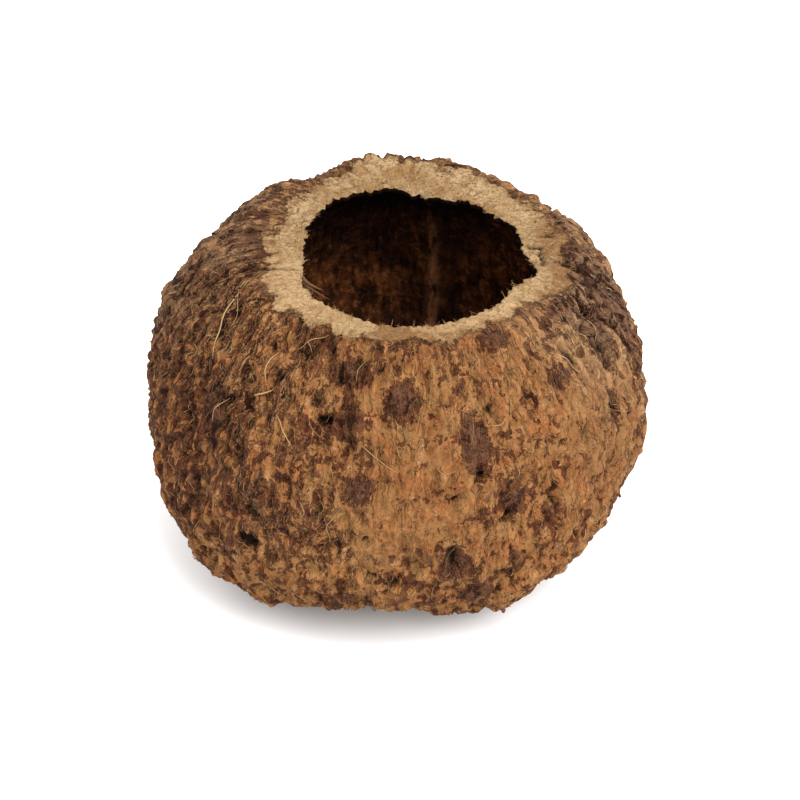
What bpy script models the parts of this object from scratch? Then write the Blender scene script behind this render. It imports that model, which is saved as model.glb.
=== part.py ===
"""Brazil nut pod: the thick woody case of the fruit, sawn open across the top and emptied.

The case is one grown piece, so it is one solid. A ray from the middle of the body meets the outer face once and
the inner face once, so each face is written as a reach, which is the distance along the ray. A ray has an
azimuth, 0 along +X and a quarter turn along +Y, and a tilt, 0 straight up and a half turn straight down.
Metres, +Z up, with the origin in the middle of the flat spot that the pod rests on.
"""

import bpy
import numpy as np

MM = 0.001
DEGREE = np.pi / 180

# The body is squat and round, a little fuller under its widest part than over it.
BODY_RADIUS = 59.3 * MM
CROWN_RISE = 53.5 * MM
KEEL_DROP = 43.6 * MM
CROWN_FULLNESS = 2.07
KEEL_FULLNESS = 2.65
MIDDLE_HEIGHT = 42.3 * MM

# Broad swells and dents of the outer face: azimuth and tilt of the middle, angular radius, height.
SWELLS = (
    (152, 62, 15, -1.4 * MM),
    (28, 62, 15, 1.3 * MM),
    (120, 44, 12, -1.5 * MM),
    (101, 38, 8, 2.2 * MM),
    (134, 42, 9, 1.0 * MM),
    (58, 46, 9, 1.5 * MM),
    (188, 92, 12, -1.0 * MM),
    (0, 97, 12, 1.4 * MM),
    (225, 120, 17, 2.8 * MM),
    (229, 125, 8, 1.5 * MM),
    (256, 122, 18, -1.6 * MM),
    (270, 128, 8, -2.6 * MM),
    (298, 120, 9, 1.5 * MM),
    (333, 110, 20, -0.8 * MM),
    (316, 52, 11, -2.2 * MM),
)

# Rough bark: rolling lumps, ridges that run from the top to the base, and small knobs.
ROLL_SIZE, ROLL_DEPTH = 24 * MM, 1.5 * MM
FURROW_WIDTH, FURROW_LENGTH, FURROW_DEPTH = 8.5 * MM, 30 * MM, 1.5 * MM
KNOB_SIZE, KNOB_DEPTH = 8 * MM, 0.9 * MM
FURROW_SHARPNESS = 5
SMOOTH_BAND = 7 * MM

# The saw cut: two flat strokes that meet in a shallow crease. Height on the axis, slope along X, slope along Y.
CUT_STROKES = ((41.2 * MM, -0.064, 0.045), (41.4 * MM, -0.064, 0.085))
RIM_STEPS = (0.12, 0.35, 0.64, 0.90)
MOUTH_EDGE_DROP = 1.0 * MM
LEAST_CLIMB = 0.1

# The rim's outer edge is rounded, and rounder where it is worn: azimuth, angular radius, more rounding.
EDGE_ROUNDING = 1.8 * MM
WORN_EDGES = ((165, 45, 4.5 * MM), (315, 17, 3.5 * MM))

# The mouth is an uneven ring: its distance from the pod's axis, every 15 degrees from +X.
MOUTH_RADII = MM * np.array(
    (
        *(30, 29, 26.5, 25.5, 22, 21.5),
        *(22.5, 22, 22, 22, 21, 20.5),
        *(20.5, 21.5, 24, 28, 29.5, 31),
        *(32.5, 32.5, 32, 32, 30.5, 33.5),
    )
)

# The cavity, with the low upright ribs that parted the seeds.
CAVITY_RADIUS = 49.5 * MM
CAVITY_RISE = 47 * MM
CAVITY_DROP = 34 * MM
CAVITY_FULLNESS = 2.15
RIB_AZIMUTHS = (79, 143, 208, 281, 352)
RIB_HALF_WIDTH = 3.0 * MM
RIB_HEIGHT = 2.6 * MM
RIB_TILT, RIB_SPREAD = 92 * DEGREE, 44 * DEGREE
LIP_REACH = 24 * DEGREE
CAVITY_ROLL_SIZE, CAVITY_ROLL_DEPTH = 15 * MM, 0.8 * MM

# The mesh: columns round the axis, and rows of each face. A crossing's gap is halved this many times.
COLUMNS = 120
OUTER_ROWS = 31
CAVITY_ROWS = 12
HALVINGS = 30
STEEPEST_TILT = 0.1


def noise(points, seed):
    """Gradient noise, about -1 to 1: a random slope at each whole-number point, eased between eight corners."""
    draw = np.random.RandomState(seed)
    order = draw.permutation(256)
    slopes = draw.normal(size=(256, 3))
    slopes /= np.linalg.norm(slopes, axis=1, keepdims=True)
    cell = np.floor(points).astype(int)
    inside = points - cell
    ease = inside**3 * (inside * (inside * 6 - 15) + 10)
    total = np.zeros(points.shape[:-1])
    for corner in np.ndindex(2, 2, 2):
        at = (cell + corner) & 255
        pick = order[(order[(order[at[..., 0]] + at[..., 1]) & 255] + at[..., 2]) & 255]
        weight = np.where(corner, ease, 1 - ease).prod(axis=-1)
        total += weight * (slopes[pick] * (inside - corner)).sum(axis=-1)
    return 1.6 * total


def ease_in(x):
    """0 below 0, 1 above 1, and a smooth step between."""
    x = np.clip(x, 0, 1)
    return x * x * (3 - 2 * x)


def angle_from(azimuth, side):
    """The turn from one azimuth to another, the short way round."""
    return (azimuth - side + np.pi) % (2 * np.pi) - np.pi


def ray(azimuth, tilt):
    """The unit vector of each ray."""
    flat = np.sin(tilt)
    return np.stack((flat * np.cos(azimuth), flat * np.sin(azimuth), np.cos(tilt)), axis=-1)


def round_reach(tilt, radius, rise, drop, rise_fullness, drop_fullness):
    """A superellipse of its own height and fullness over and under the widest part."""
    height = np.where(np.cos(tilt) > 0, rise, drop)
    power = np.where(np.cos(tilt) > 0, rise_fullness, drop_fullness)
    across = (np.abs(np.sin(tilt)) / radius) ** power
    return (across + (np.abs(np.cos(tilt)) / height) ** power) ** (-1 / power)


def swell(azimuth, tilt):
    """Each swell is a bell curve of the angle from its middle."""
    rays = ray(azimuth, tilt)
    total = np.zeros(rays.shape[:-1])
    for side, lean, spread, height in SWELLS:
        away = np.arccos(np.clip(rays @ ray(side * DEGREE, lean * DEGREE), -1, 1))
        total += height * np.exp(-((away / (spread * DEGREE)) ** 2))
    return total


def bark(azimuth, tilt, reach):
    """Rolling lumps and knobs, less furrows where a noise drawn out from top to base crosses nought."""
    place = ray(azimuth, tilt) * reach[..., None]
    grain = np.stack(
        (
            BODY_RADIUS * np.cos(azimuth) / FURROW_WIDTH,
            BODY_RADIUS * np.sin(azimuth) / FURROW_WIDTH,
            BODY_RADIUS * tilt / FURROW_LENGTH,
        ),
        axis=-1,
    )
    furrow = (1 - np.abs(noise(grain + noise(place / ROLL_SIZE, 5)[..., None], 2))) ** FURROW_SHARPNESS
    relief = ROLL_DEPTH * noise(place / ROLL_SIZE, 1)
    relief += KNOB_DEPTH * noise(place / KNOB_SIZE, 3)
    relief += FURROW_DEPTH * (0.35 - furrow)
    return relief * ease_in((place[..., 2] + MIDDLE_HEIGHT) / SMOOTH_BAND)


def body_reach(azimuth, tilt):
    """The body's round form with its swells and its bark, before the cut."""
    reach = round_reach(tilt, BODY_RADIUS, CROWN_RISE, KEEL_DROP, CROWN_FULLNESS, KEEL_FULLNESS)
    reach = reach + swell(azimuth, tilt)
    return reach + bark(azimuth, tilt, reach)


def cut_reach(azimuth, tilt):
    """The sawn face: a ray ends on the farther of the two strokes, or far out if it never meets them."""
    rays = ray(azimuth, tilt)
    farthest = np.zeros(rays.shape[:-1])
    for rise, along_x, along_y in CUT_STROKES:
        climb = np.maximum(rays @ (-along_x, -along_y, 1), LEAST_CLIMB)
        farthest = np.maximum(farthest, rise / climb)
    return farthest


def outer_reach(azimuth, tilt):
    """The lesser of the body's reach and the cut's, rounded off where they are nearly the same."""
    body, cut = body_reach(azimuth, tilt), cut_reach(azimuth, tilt)
    rounding = EDGE_ROUNDING
    for side, spread, more in WORN_EDGES:
        rounding = rounding + more * np.exp(-((angle_from(azimuth, side * DEGREE) / (spread * DEGREE)) ** 2))
    near = np.clip(1 - np.abs(body - cut) / rounding, 0, 1)
    return np.minimum(body, cut) - rounding * near**2 / 4


def past_body(azimuth, tilt):
    """How far the uncut body stands out past the sawn face."""
    return body_reach(azimuth, tilt) - cut_reach(azimuth, tilt)


def inside_mouth(azimuth, tilt):
    """How far the sawn face's point on this ray lies inside the mouth's outline."""
    return mouth_radius(azimuth) - np.sin(tilt) * cut_reach(azimuth, tilt)


def above_base(azimuth, tilt):
    """How far the outer face stands over the plane that the pod rests on."""
    return body_reach(azimuth, tilt) * np.cos(tilt) + MIDDLE_HEIGHT


def crossing(height_of, azimuth, low, high):
    """The tilt at which a height that falls from low to high passes nought, by halving the gap."""
    low, high = np.full_like(azimuth, low), np.full_like(azimuth, high)
    for _ in range(HALVINGS):
        middle = (low + high) / 2
        over = height_of(azimuth, middle) > 0
        low, high = np.where(over, middle, low), np.where(over, high, middle)
    return (low + high) / 2


def mouth_radius(azimuth):
    """A closed cubic curve through the mouth's radii."""
    count = len(MOUTH_RADII)
    at = azimuth / (2 * np.pi) * count
    first = np.floor(at).astype(int)
    share = at - first
    before, start, end, after = (MOUTH_RADII[(first + shift) % count] for shift in (-1, 0, 1, 2))
    bend = 2 * before - 5 * start + 4 * end - after
    twist = 3 * (start - end) + after - before
    return start + share / 2 * (end - before + share * (bend + share * twist))


def cavity_reach(azimuth, tilt):
    """A smaller round form, less the upright ribs, which fade towards the mouth and the floor."""
    reach = round_reach(tilt, CAVITY_RADIUS, CAVITY_RISE, CAVITY_DROP, CAVITY_FULLNESS, CAVITY_FULLNESS)
    place = ray(azimuth, tilt) * reach[..., None]
    reach = reach + CAVITY_ROLL_DEPTH * noise(place / CAVITY_ROLL_SIZE, 4)
    upright = np.exp(-(((tilt - RIB_TILT) / RIB_SPREAD) ** 2))
    for side in RIB_AZIMUTHS:
        across = CAVITY_RADIUS * angle_from(azimuth, side * DEGREE)
        reach = reach - RIB_HEIGHT * upright * np.exp(-((across / RIB_HALF_WIDTH) ** 2))
    return reach


def rings_between(azimuth, start, end, steps, reach_of):
    """Rings of one face, at steps from one tilt to another."""
    for step in steps:
        tilt = start + (end - start) * step
        yield ray(azimuth, tilt) * reach_of(azimuth, tilt)[:, None]


def cavity_rings(azimuth, edge):
    """Rings of the cavity from under the mouth's edge to the floor. The wall eases away from the edge."""
    edge_reach = np.linalg.norm(edge, axis=1)
    edge_tilt = np.arccos(edge[:, 2] / edge_reach)
    gap = edge_reach - cavity_reach(azimuth, edge_tilt)

    def wall(azimuth, tilt):
        near = 1 - ease_in((tilt - edge_tilt) / LIP_REACH)
        return cavity_reach(azimuth, tilt) + gap * near

    steps = np.linspace(0, 1, CAVITY_ROWS + 1)[1:-1]
    return rings_between(azimuth, edge_tilt, np.pi, steps, wall)


def material(name, color, roughness):
    """A plain finish of one colour."""
    made = bpy.data.materials.new(name)
    made.use_nodes = True
    shader = made.node_tree.nodes["Principled BSDF"]
    shader.inputs["Base Color"].default_value = (*color, 1)
    shader.inputs["Roughness"].default_value = roughness
    shader.inputs["Metallic"].default_value = 0
    return made


def build_pod():
    """Joins the rings into one closed shell and gives each stretch of it its finish."""
    azimuth = np.arange(COLUMNS) / COLUMNS * 2 * np.pi
    base = crossing(above_base, azimuth, np.pi / 2, np.pi)
    shoulder = crossing(past_body, azimuth, STEEPEST_TILT, np.pi / 2)
    mouth = crossing(inside_mouth, azimuth, STEEPEST_TILT, np.pi / 2)
    outer = list(rings_between(azimuth, base, shoulder, np.linspace(0, 1, OUTER_ROWS), outer_reach))
    rim = list(rings_between(azimuth, shoulder, mouth, (*RIM_STEPS, 1), outer_reach))
    rim.append(rim[-1] - (0, 0, MOUTH_EDGE_DROP))
    cavity = list(cavity_rings(azimuth, rim[-1]))
    rings = [*outer, *rim, *cavity]
    floor = -ray(0.0, 0.0) * cavity_reach(np.zeros(1), np.full(1, np.pi))
    points = np.concatenate((*rings, floor[None])) + (0, 0, MIDDLE_HEIGHT)
    points[:COLUMNS, 2] = 0

    column = np.arange(COLUMNS)
    following = (column + 1) % COLUMNS
    faces = [tuple(column[::-1])]
    for ring in range(len(rings) - 1):
        low, high = ring * COLUMNS, (ring + 1) * COLUMNS
        faces += zip(low + column, low + following, high + following, high + column)
    last = (len(rings) - 1) * COLUMNS
    faces += zip(last + column, last + following, np.full(COLUMNS, len(points) - 1))

    mesh = bpy.data.meshes.new("pod")
    mesh.from_pydata(points.tolist(), [], [tuple(int(corner) for corner in face) for face in faces])
    mesh.materials.append(material("bark", (0.20, 0.105, 0.050), 0.85))
    mesh.materials.append(material("sawn_wood", (0.49, 0.31, 0.16), 0.80))
    mesh.materials.append(material("cavity_wall", (0.035, 0.016, 0.009), 0.60))
    stretch = np.full(len(faces), 2)
    stretch[: 1 + (len(outer) - 1 + len(rim)) * COLUMNS] = 1
    stretch[: 1 + (len(outer) - 1) * COLUMNS] = 0
    mesh.polygons.foreach_set("material_index", stretch.astype(np.int32))
    mesh.shade_smooth()
    mesh.set_sharp_from_angle(angle=40 * DEGREE)
    pod = bpy.data.objects.new("pod", mesh)
    bpy.context.scene.collection.objects.link(pod)
    return pod


for leftover in list(bpy.data.objects):
    bpy.data.objects.remove(leftover)
build_pod()
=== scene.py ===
"""The looks of a brazil nut pod: matted bark, a sawn rim and a dark ribbed cavity.

The pod is one woody case, so one finely modelled shell stands for its solid. Loose fibres, torn
strips and lifted flakes of bark are pieces of their own. The form follows the solid's: a ray from
the middle of the body has an azimuth and a tilt, and each face is a reach along it. The tilt is 0
straight up. Metres, +Z up, seen along +Y.
"""

import bpy
import numpy as np
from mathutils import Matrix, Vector


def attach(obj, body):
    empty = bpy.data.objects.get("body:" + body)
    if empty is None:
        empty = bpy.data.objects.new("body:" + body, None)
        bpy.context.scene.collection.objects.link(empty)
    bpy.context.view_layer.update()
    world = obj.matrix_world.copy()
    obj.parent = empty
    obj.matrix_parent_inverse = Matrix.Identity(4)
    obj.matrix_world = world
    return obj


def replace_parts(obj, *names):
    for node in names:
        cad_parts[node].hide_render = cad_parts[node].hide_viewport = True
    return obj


MM = 0.001
DEGREE = np.pi / 180

# The camera: its angle over the level, its distance from the middle of the body, and its lens.
VIEW_RISE = 34 * DEGREE
VIEW_DISTANCE = 0.65
LENS_MM = 121.7
FRAME_SHIFT_RIGHT, FRAME_SHIFT_UP = 1.4 * MM, -2.2 * MM

# The body, as in the solid. A swell has an azimuth, a tilt and a spread in degrees, and a height.
BODY_RADIUS = 59.3 * MM
CROWN_RISE, KEEL_DROP = 53.5 * MM, 43.6 * MM
CROWN_FULLNESS, KEEL_FULLNESS = 2.07, 2.65
MIDDLE_HEIGHT = 42.3 * MM
SWELLS = (
    (152, 62, 15, -1.4 * MM),
    (28, 62, 15, 1.3 * MM),
    (120, 44, 12, -1.5 * MM),
    (101, 38, 8, 2.2 * MM),
    (134, 42, 9, 1.0 * MM),
    (58, 46, 9, 1.5 * MM),
    (188, 92, 12, -1.0 * MM),
    (0, 97, 12, 1.4 * MM),
    (225, 120, 17, 2.8 * MM),
    (229, 125, 8, 1.5 * MM),
    (256, 122, 18, -1.6 * MM),
    (270, 128, 8, -2.6 * MM),
    (298, 120, 9, 1.5 * MM),
    (333, 110, 20, -0.8 * MM),
    (316, 52, 11, -2.2 * MM),
)
ROLL_SIZE, ROLL_DEPTH = 24 * MM, 1.5 * MM
FURROW_WIDTH, FURROW_LENGTH, FURROW_DEPTH = 8.5 * MM, 30 * MM, 1.5 * MM
KNOB_SIZE, KNOB_DEPTH = 8 * MM, 0.9 * MM
FURROW_SHARPNESS = 5
SMOOTH_BAND = 7 * MM

# The sawn face, as in the solid: a stroke's height over the middle, and its rise along X and Y.
# A worn edge has an azimuth, a spread in degrees and the rounding that it adds.
CUT_STROKES = ((41.2 * MM, -0.064, 0.045), (41.4 * MM, -0.064, 0.085))
LEAST_CLIMB = 0.1
EDGE_ROUNDING = 1.8 * MM
WORN_EDGES = ((165, 45, 4.5 * MM), (315, 17, 3.5 * MM))

# The mouth's radius at every 15 degrees from +X.
MOUTH_RADII = MM * np.array(
    (
        *(30.2, 30, 26.8, 25.2, 21.6, 20.6),
        *(21.8, 21.4, 21.3, 21.3, 20.6, 20.5),
        *(20.5, 21.5, 24, 28.5, 30.6, 32.3),
        *(33.4, 33.3, 32.9, 32.7, 31.2, 33.8),
    )
)

# The cavity, as in the solid.
CAVITY_RADIUS, CAVITY_RISE, CAVITY_DROP = 49.5 * MM, 47 * MM, 34 * MM
CAVITY_FULLNESS = 2.15
RIB_AZIMUTHS = (79, 143, 208, 281, 352)
RIB_HALF_WIDTH, RIB_HEIGHT = 3.0 * MM, 2.6 * MM
RIB_TILT, RIB_SPREAD = 92 * DEGREE, 44 * DEGREE
LIP_REACH = 24 * DEGREE
CAVITY_ROLL_SIZE, CAVITY_ROLL_DEPTH = 15 * MM, 0.8 * MM

# Fine relief of the bark.
STRAND_WIDTH, STRAND_LENGTH, STRAND_DEPTH = 3.0 * MM, 12 * MM, 0.85 * MM
STRAND_TWIST, STRAND_TWIST_SIZE = 1.4, 9 * MM
CLOT_SIZE, CLOT_DEPTH = 3.4 * MM, 0.55 * MM
GRIT_SIZE, GRIT_DEPTH = 1.6 * MM, 0.28 * MM
PIT_SIZE, PIT_DEPTH = 4.2 * MM, 1.3 * MM
PIT_START, PIT_SPAN = 0.42, 0.3
HOLE_WAVER, HOLE_WAVER_SIZE = 1.3 * DEGREE, 3 * MM
FINE_BAND = 2.5 * MM

# Fine relief of the sawn face and of the mouth's torn edge.
SAW_SIZE, SAW_DEPTH = 1.7 * MM, 0.34 * MM
TOOTH_SIZE, TOOTH_DEPTH = 1.3 * MM, 0.75 * MM
GROOVE_WAVER, GROOVE_WAVER_SIZE, GROOVE_GRIT_SIZE = 0.7 * MM, 2 * MM, 1.2 * MM

# Fine relief of the cavity's lining.
LINING_STRAND_WIDTH, LINING_STRAND_LENGTH, LINING_LUMP_SIZE = 2.2 * MM, 12 * MM, 5 * MM
LINING_DEPTH, FLOOR_FADE = 0.5 * MM, 30 * DEGREE

# Places on the bark: azimuth, tilt, half-width across and half-height down in degrees, and strength.
# Dark places are thick with maroon clots, or thin of them where the strength is under nought.
DARK_PLACES = (
    (200, 66, 42, 40, 0.36),
    (172, 50, 24, 14, 0.06),
    (240, 80, 12, 18, 0.10),
    (289, 69, 3.0, 7, 0.90),
    (262, 78, 3.6, 3.4, 0.95),
    (272, 58, 3.6, 5.2, 0.85),
    (304, 48, 4.5, 3.5, 0.80),
    (259, 53, 4.0, 3.5, 0.60),
    (258, 63, 3.5, 4.5, 0.45),
    (247, 48, 5, 3, 0.50),
    (288, 47, 3, 3, 0.50),
    (283, 98, 3.8, 5.0, 0.80),
    (290, 109, 4.0, 3.0, 0.70),
    (297, 84, 3.4, 2.4, 0.65),
    (352, 60, 7, 9, 0.70),
    (336, 60, 4.5, 8, 0.75),
    (331, 77, 2.2, 5, 0.80),
    (318, 62, 3.0, 3.0, 0.60),
    (238, 84, 3.0, 4.0, 0.62),
    (222, 70, 4.0, 5.0, 0.62),
    (245, 95, 12, 14, 0.12),
    (344, 54, 12, 8, 0.45),
    (356, 50, 24, 12, 0.50),
    (358, 68, 14, 12, 0.30),
    (307, 92, 5, 3.5, 0.40),
    (300, 86, 4, 3, 0.50),
    (296, 81, 3, 2.5, 0.45),
    (275, 80, 11, 18, -0.36),
    (325, 68, 8, 9, -0.40),
    (314, 76, 14, 18, -0.12),
    (330, 88, 22, 22, -0.20),
    (292, 56, 30, 14, -0.14),
    (318, 74, 34, 36, -0.10),
)
SMOOTH_PLACES = [place for place in DARK_PLACES if place[-1] < 0]
BARE_PLACES = [place for place in DARK_PLACES if place[-1] > 0.55]
BARE_WAVER, BARE_WAVER_SIZE = 2.6 * DEGREE, 3.2 * MM

# Places where the skin is grey-brown.
GREY_PLACES = (
    (352, 54, 28, 16, 1.0),
    (165, 52, 30, 22, 1.0),
    (5, 70, 20, 25, 0.5),
    (333, 64, 12, 16, 0.4),
    (345, 90, 26, 30, 0.15),
    (60, 60, 40, 30, 0.5),
)

# Places with light hairs.
LIGHT_PLACES = (
    (212, 48, 16, 14, 0.7),
    (235, 60, 16, 14, 0.6),
    (255, 90, 25, 14, 0.5),
    (325, 66, 20, 16, 0.6),
    (290, 60, 14, 10, 0.4),
)

# Places where the bark is more streaked along its fibres, or less.
STREAK_PLACES = ((278, 78, 42, 42, -0.85), (205, 65, 35, 35, 0.5))

# Holes and crevices, with a depth in place of the strength.
HOLES = (
    (253, 64, 1.7, 1.3, 3.0 * MM),
    (290, 77, 0.9, 1.1, 2.4 * MM),
    (295, 89, 2.0, 0.9, 2.0 * MM),
    (299, 80, 1.2, 0.9, 1.3 * MM),
    (284, 81, 2.2, 0.7, 1.3 * MM),
    (339, 54, 1.1, 6.0, 2.4 * MM),
    (336, 66, 1.0, 6.0, 2.0 * MM),
    (331, 77, 1.2, 4.0, 2.0 * MM),
    (345, 64, 1.0, 8.0, 1.8 * MM),
    (323, 60, 1.0, 4.0, 1.6 * MM),
    (320, 78, 0.8, 6.0, 1.0 * MM),
    (309, 90, 1.0, 7.0, 1.2 * MM),
    (326, 92, 1.0, 7.0, 1.2 * MM),
    (314, 64, 0.9, 5.0, 1.2 * MM),
    (283, 97, 1.6, 3.0, 1.5 * MM),
    (214, 74, 1.0, 2.0, 1.6 * MM),
    (222, 92, 1.1, 2.0, 1.6 * MM),
    (205, 84, 0.9, 3.0, 1.4 * MM),
    (236, 68, 1.0, 2.5, 1.2 * MM),
    (352, 52, 0.9, 7, 1.6 * MM),
    (358, 61, 0.9, 8, 1.5 * MM),
    (347, 69, 0.8, 8, 1.4 * MM),
    (3, 72, 0.9, 8, 1.4 * MM),
    (337, 84, 0.8, 9, 1.2 * MM),
    (327, 78, 0.7, 7, 1.1 * MM),
    (350, 84, 0.9, 8, 1.3 * MM),
)

# Warm brown places of the cavity's wall, partly its own colour and partly painted light, listed as the
# dark places are.
WARM_PLACES = (
    (98, 91, 9, 8, 1.0),
    (114, 90, 8, 11, 0.8),
    (55, 76, 9, 7, 1.0),
    (64, 90, 9, 9, 0.55),
    (46, 68, 16, 18, 0.6),
    (82, 74, 3, 14, 0.3),
    (200, 90, 30, 20, 0.6),
    (300, 95, 40, 15, 0.5),
)

# The painted highlight down the back rib, a thin light brown line: its azimuth and half-width, and in
# radians the tilt of its foot and how far above the foot it starts to fade.
RIB_HIGHLIGHT_LINE = (78 * DEGREE, 1.2 * DEGREE, 2.2, 0.5)

# Grooves, pits and, where the depth is under nought, crumbs of the sawn face: X, Y, half-length
# along X, half-length along Y, depth.
RIM_HOLLOWS = (
    (34.6 * MM, -2.6 * MM, 0.55 * MM, 3.0 * MM, 2.4 * MM),
    (33.0 * MM, 1.6 * MM, 2.2 * MM, 0.8 * MM, 1.6 * MM),
    (41.0 * MM, -3.8 * MM, 3.4 * MM, 0.5 * MM, 0.9 * MM),
    (-27.0 * MM, -13.2 * MM, 6.0 * MM, 0.45 * MM, 0.7 * MM),
    (36.5 * MM, 6.5 * MM, 1.6 * MM, 1.4 * MM, 0.9 * MM),
    (29.0 * MM, 22.0 * MM, 2.0 * MM, 1.0 * MM, 0.9 * MM),
    (12.0 * MM, 30.5 * MM, 2.2 * MM, 0.8 * MM, 0.8 * MM),
    (-14.0 * MM, 27.0 * MM, 1.8 * MM, 0.8 * MM, 0.8 * MM),
    (2.9 * MM, -33.6 * MM, 1.7 * MM, 1.0 * MM, -0.9 * MM),
    (12.3 * MM, -31.6 * MM, 0.9 * MM, 0.9 * MM, -0.8 * MM),
)

# Mottled places of the sawn face: X, Y, radius, strength.
RIM_STAINS = (
    (38 * MM, 8 * MM, 8 * MM, 0.8),
    (6 * MM, 27 * MM, 6 * MM, 0.5),
    (41 * MM, -9 * MM, 6.5 * MM, 1.1),
    (42 * MM, 1 * MM, 6 * MM, 0.9),
    (36 * MM, -19 * MM, 5 * MM, 0.6),
    (4 * MM, -39 * MM, 8 * MM, 0.75),
    (-14 * MM, -37 * MM, 6 * MM, 0.5),
    (18 * MM, -36 * MM, 6 * MM, 0.5),
    (-2 * MM, -37 * MM, 7 * MM, 0.35),
    (28 * MM, 24 * MM, 6 * MM, 0.5),
)

# Long fibres: azimuth and tilt of the places along each, thickness in mm, lift in mm, and tone.
LONG_FIBRES = (
    (((208.5, 42), (211, 50), (213, 55), (216, 60)), 0.50, 0.6, 0.85),
    (((207, 41), (209, 45), (213, 49), (216, 52)), 0.28, 0.5, 0.7),
    (((236, 52), (234.5, 55), (236, 59)), 0.38, 1.0, 0.9),
    (((233, 63), (236, 61.5), (239, 59.5)), 0.5, 0.8, 0.95),
    (((241, 65), (243, 67), (247, 71)), 0.34, 0.6, 0.9),
    (((226, 66), (224, 69), (223, 73)), 0.3, 0.6, 0.7),
    (((262, 68), (266, 71), (271, 74)), 0.30, 0.3, 0.7),
    (((292, 66), (296, 66.5), (299, 64)), 0.26, 0.5, 0.75),
    (((318, 56), (322, 60), (324, 65)), 0.28, 0.5, 0.8),
    (((249, 45), (244, 47), (240, 50)), 0.28, 0.5, 0.75),
    (((341, 52), (338, 57), (336, 62)), 0.26, 0.5, 0.8),
    (((258, 84), (255, 88), (256, 93)), 0.28, 0.4, 0.7),
)

# Tongues of sawn wood that run down over the bark, listed as the dark places are. The last number
# is how much deeper in millimetres the cut counts as there.
TONGUES = (
    (240, 46, 2.4, 5.5, 3.2),
    (252, 42, 2.2, 3.5, 2.4),
    (226, 42, 3.0, 4.0, 2.2),
    (283, 41, 2.5, 3.0, 1.8),
)

# How pale the pod's colours are taken, under the studio's bright surround, and the bump's height.
PALENESS = 0.72
BUMP_HEIGHT = 1.1 * MM

# Colours of the bark: felt, the clots and skin over it, and what shows under them.
TAN_FELT, ORANGE_FELT = (0.250, 0.112, 0.037), (0.245, 0.089, 0.0270)
BROWN_FELT, GREY_FELT, PALE_FELT = (0.235, 0.080, 0.0235), (0.300, 0.175, 0.088), (0.37, 0.222, 0.105)
DARK_MAROON, MAROON = (0.068, 0.018, 0.0075), (0.092, 0.031, 0.0120)
DARK_SKIN, PALE_SKIN = (0.084, 0.041, 0.023), (0.220, 0.124, 0.070)
# The deepest clots, and the painted shade in the cracks
DEEP_BARK, CRACK_SHADE = (0.026, 0.009, 0.0045), (0.024, 0.009, 0.0045)
LIGHT_HAIR, BARE_HAIR = (0.40, 0.235, 0.098), (0.150, 0.068, 0.032)
DARK_BARE, BROWN_BARE = (0.034, 0.012, 0.0075), (0.092, 0.034, 0.018)

# Colours of the sawn wood, of the cavity's lining with its painted shade and light, and of the loose
# fibres.
TORN_WOOD = ((0.190, 0.096, 0.038), (0.520, 0.348, 0.181))
SMOOTH_WOOD = ((0.305, 0.182, 0.084), (0.510, 0.338, 0.173))
WOOD_BORDER, WOOD_TINGE, WOOD_STAIN = (0.20, 0.092, 0.034), (0.25, 0.118, 0.036), (0.190, 0.084, 0.028)
WOOD_HAIR, WOOD_FLECK = (0.46, 0.32, 0.17), (0.090, 0.036, 0.013)
DARK_LINING_AND_SHADE, WARM_LINING_AND_LIGHT = (0.036, 0.0135, 0.0078), (0.215, 0.064, 0.0190)
RIB_HIGHLIGHT, LINING_GLINT = (0.30, 0.115, 0.048), (0.34, 0.115, 0.034)
BROWN_FIBRE, TAN_FIBRE = (0.072, 0.028, 0.011), (0.34, 0.212, 0.092)

# The numbers that the shell carries for its finish, besides the grain.
MARKS = (
    *("cover", "grey", "sawn", "inside", "hollow_shade", "relief"),
    *("streak", "light", "bare", "rib", "warm", "stain"),
)

# What a mark is away from the listed places, and how many times as long as wide the finish's fibres
# are drawn.
PLAIN_COVER, PLAIN_GREY, PLAIN_STREAK = 0.52, 0.12, 1.3
GRAIN_STRETCH = 4.0

# The loose pieces: how many there are, and the points along each, with those across a flake.
LOOSE_FIBRE_COUNT, LOOSE_FIBRE_STEPS, LONG_FIBRE_STEPS = 1300, 7, 14
STRIP_COUNT, STRIP_STEPS = 8, 9
FLAKE_COUNT, FLAKE_STEPS, FLAKE_WIDE = 80, 5, 3
RIM_HAIR_COUNT, RIM_HAIR_STEPS = 1100, 4

# The shell's mesh: columns of points round the pod, and rows up its outside, over its rim and down
# its cavity. Each ring of the lip lies lower than the mouth's edge by its drop.
OUTER_COLUMNS, CAVITY_COLUMNS = 560, 280
OUTER_ROWS, RIM_ROWS, CAVITY_ROWS = 124, 14, 56
LIP_DROPS = (0.3 * MM, 0.7 * MM, 1.2 * MM)

# The search for a tilt: how often its gap is halved, and the least tilt that it tries, in radians.
HALVINGS = 26
STEEPEST_TILT = 0.1

# The studio: half the floor's side, its colour, the surround's strength, and each light's place,
# size and watts.
HALF_FLOOR = 3.0
FLOOR_COLOUR = (0.95, 0.95, 0.95, 1)
SURROUND_STRENGTH = 1.7
LIGHTS = {"key": ((0.42, -0.72, 1.10), 0.8, 18), "fill": ((0.9, -0.45, 0.55), 0.8, 4.5)}


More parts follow.
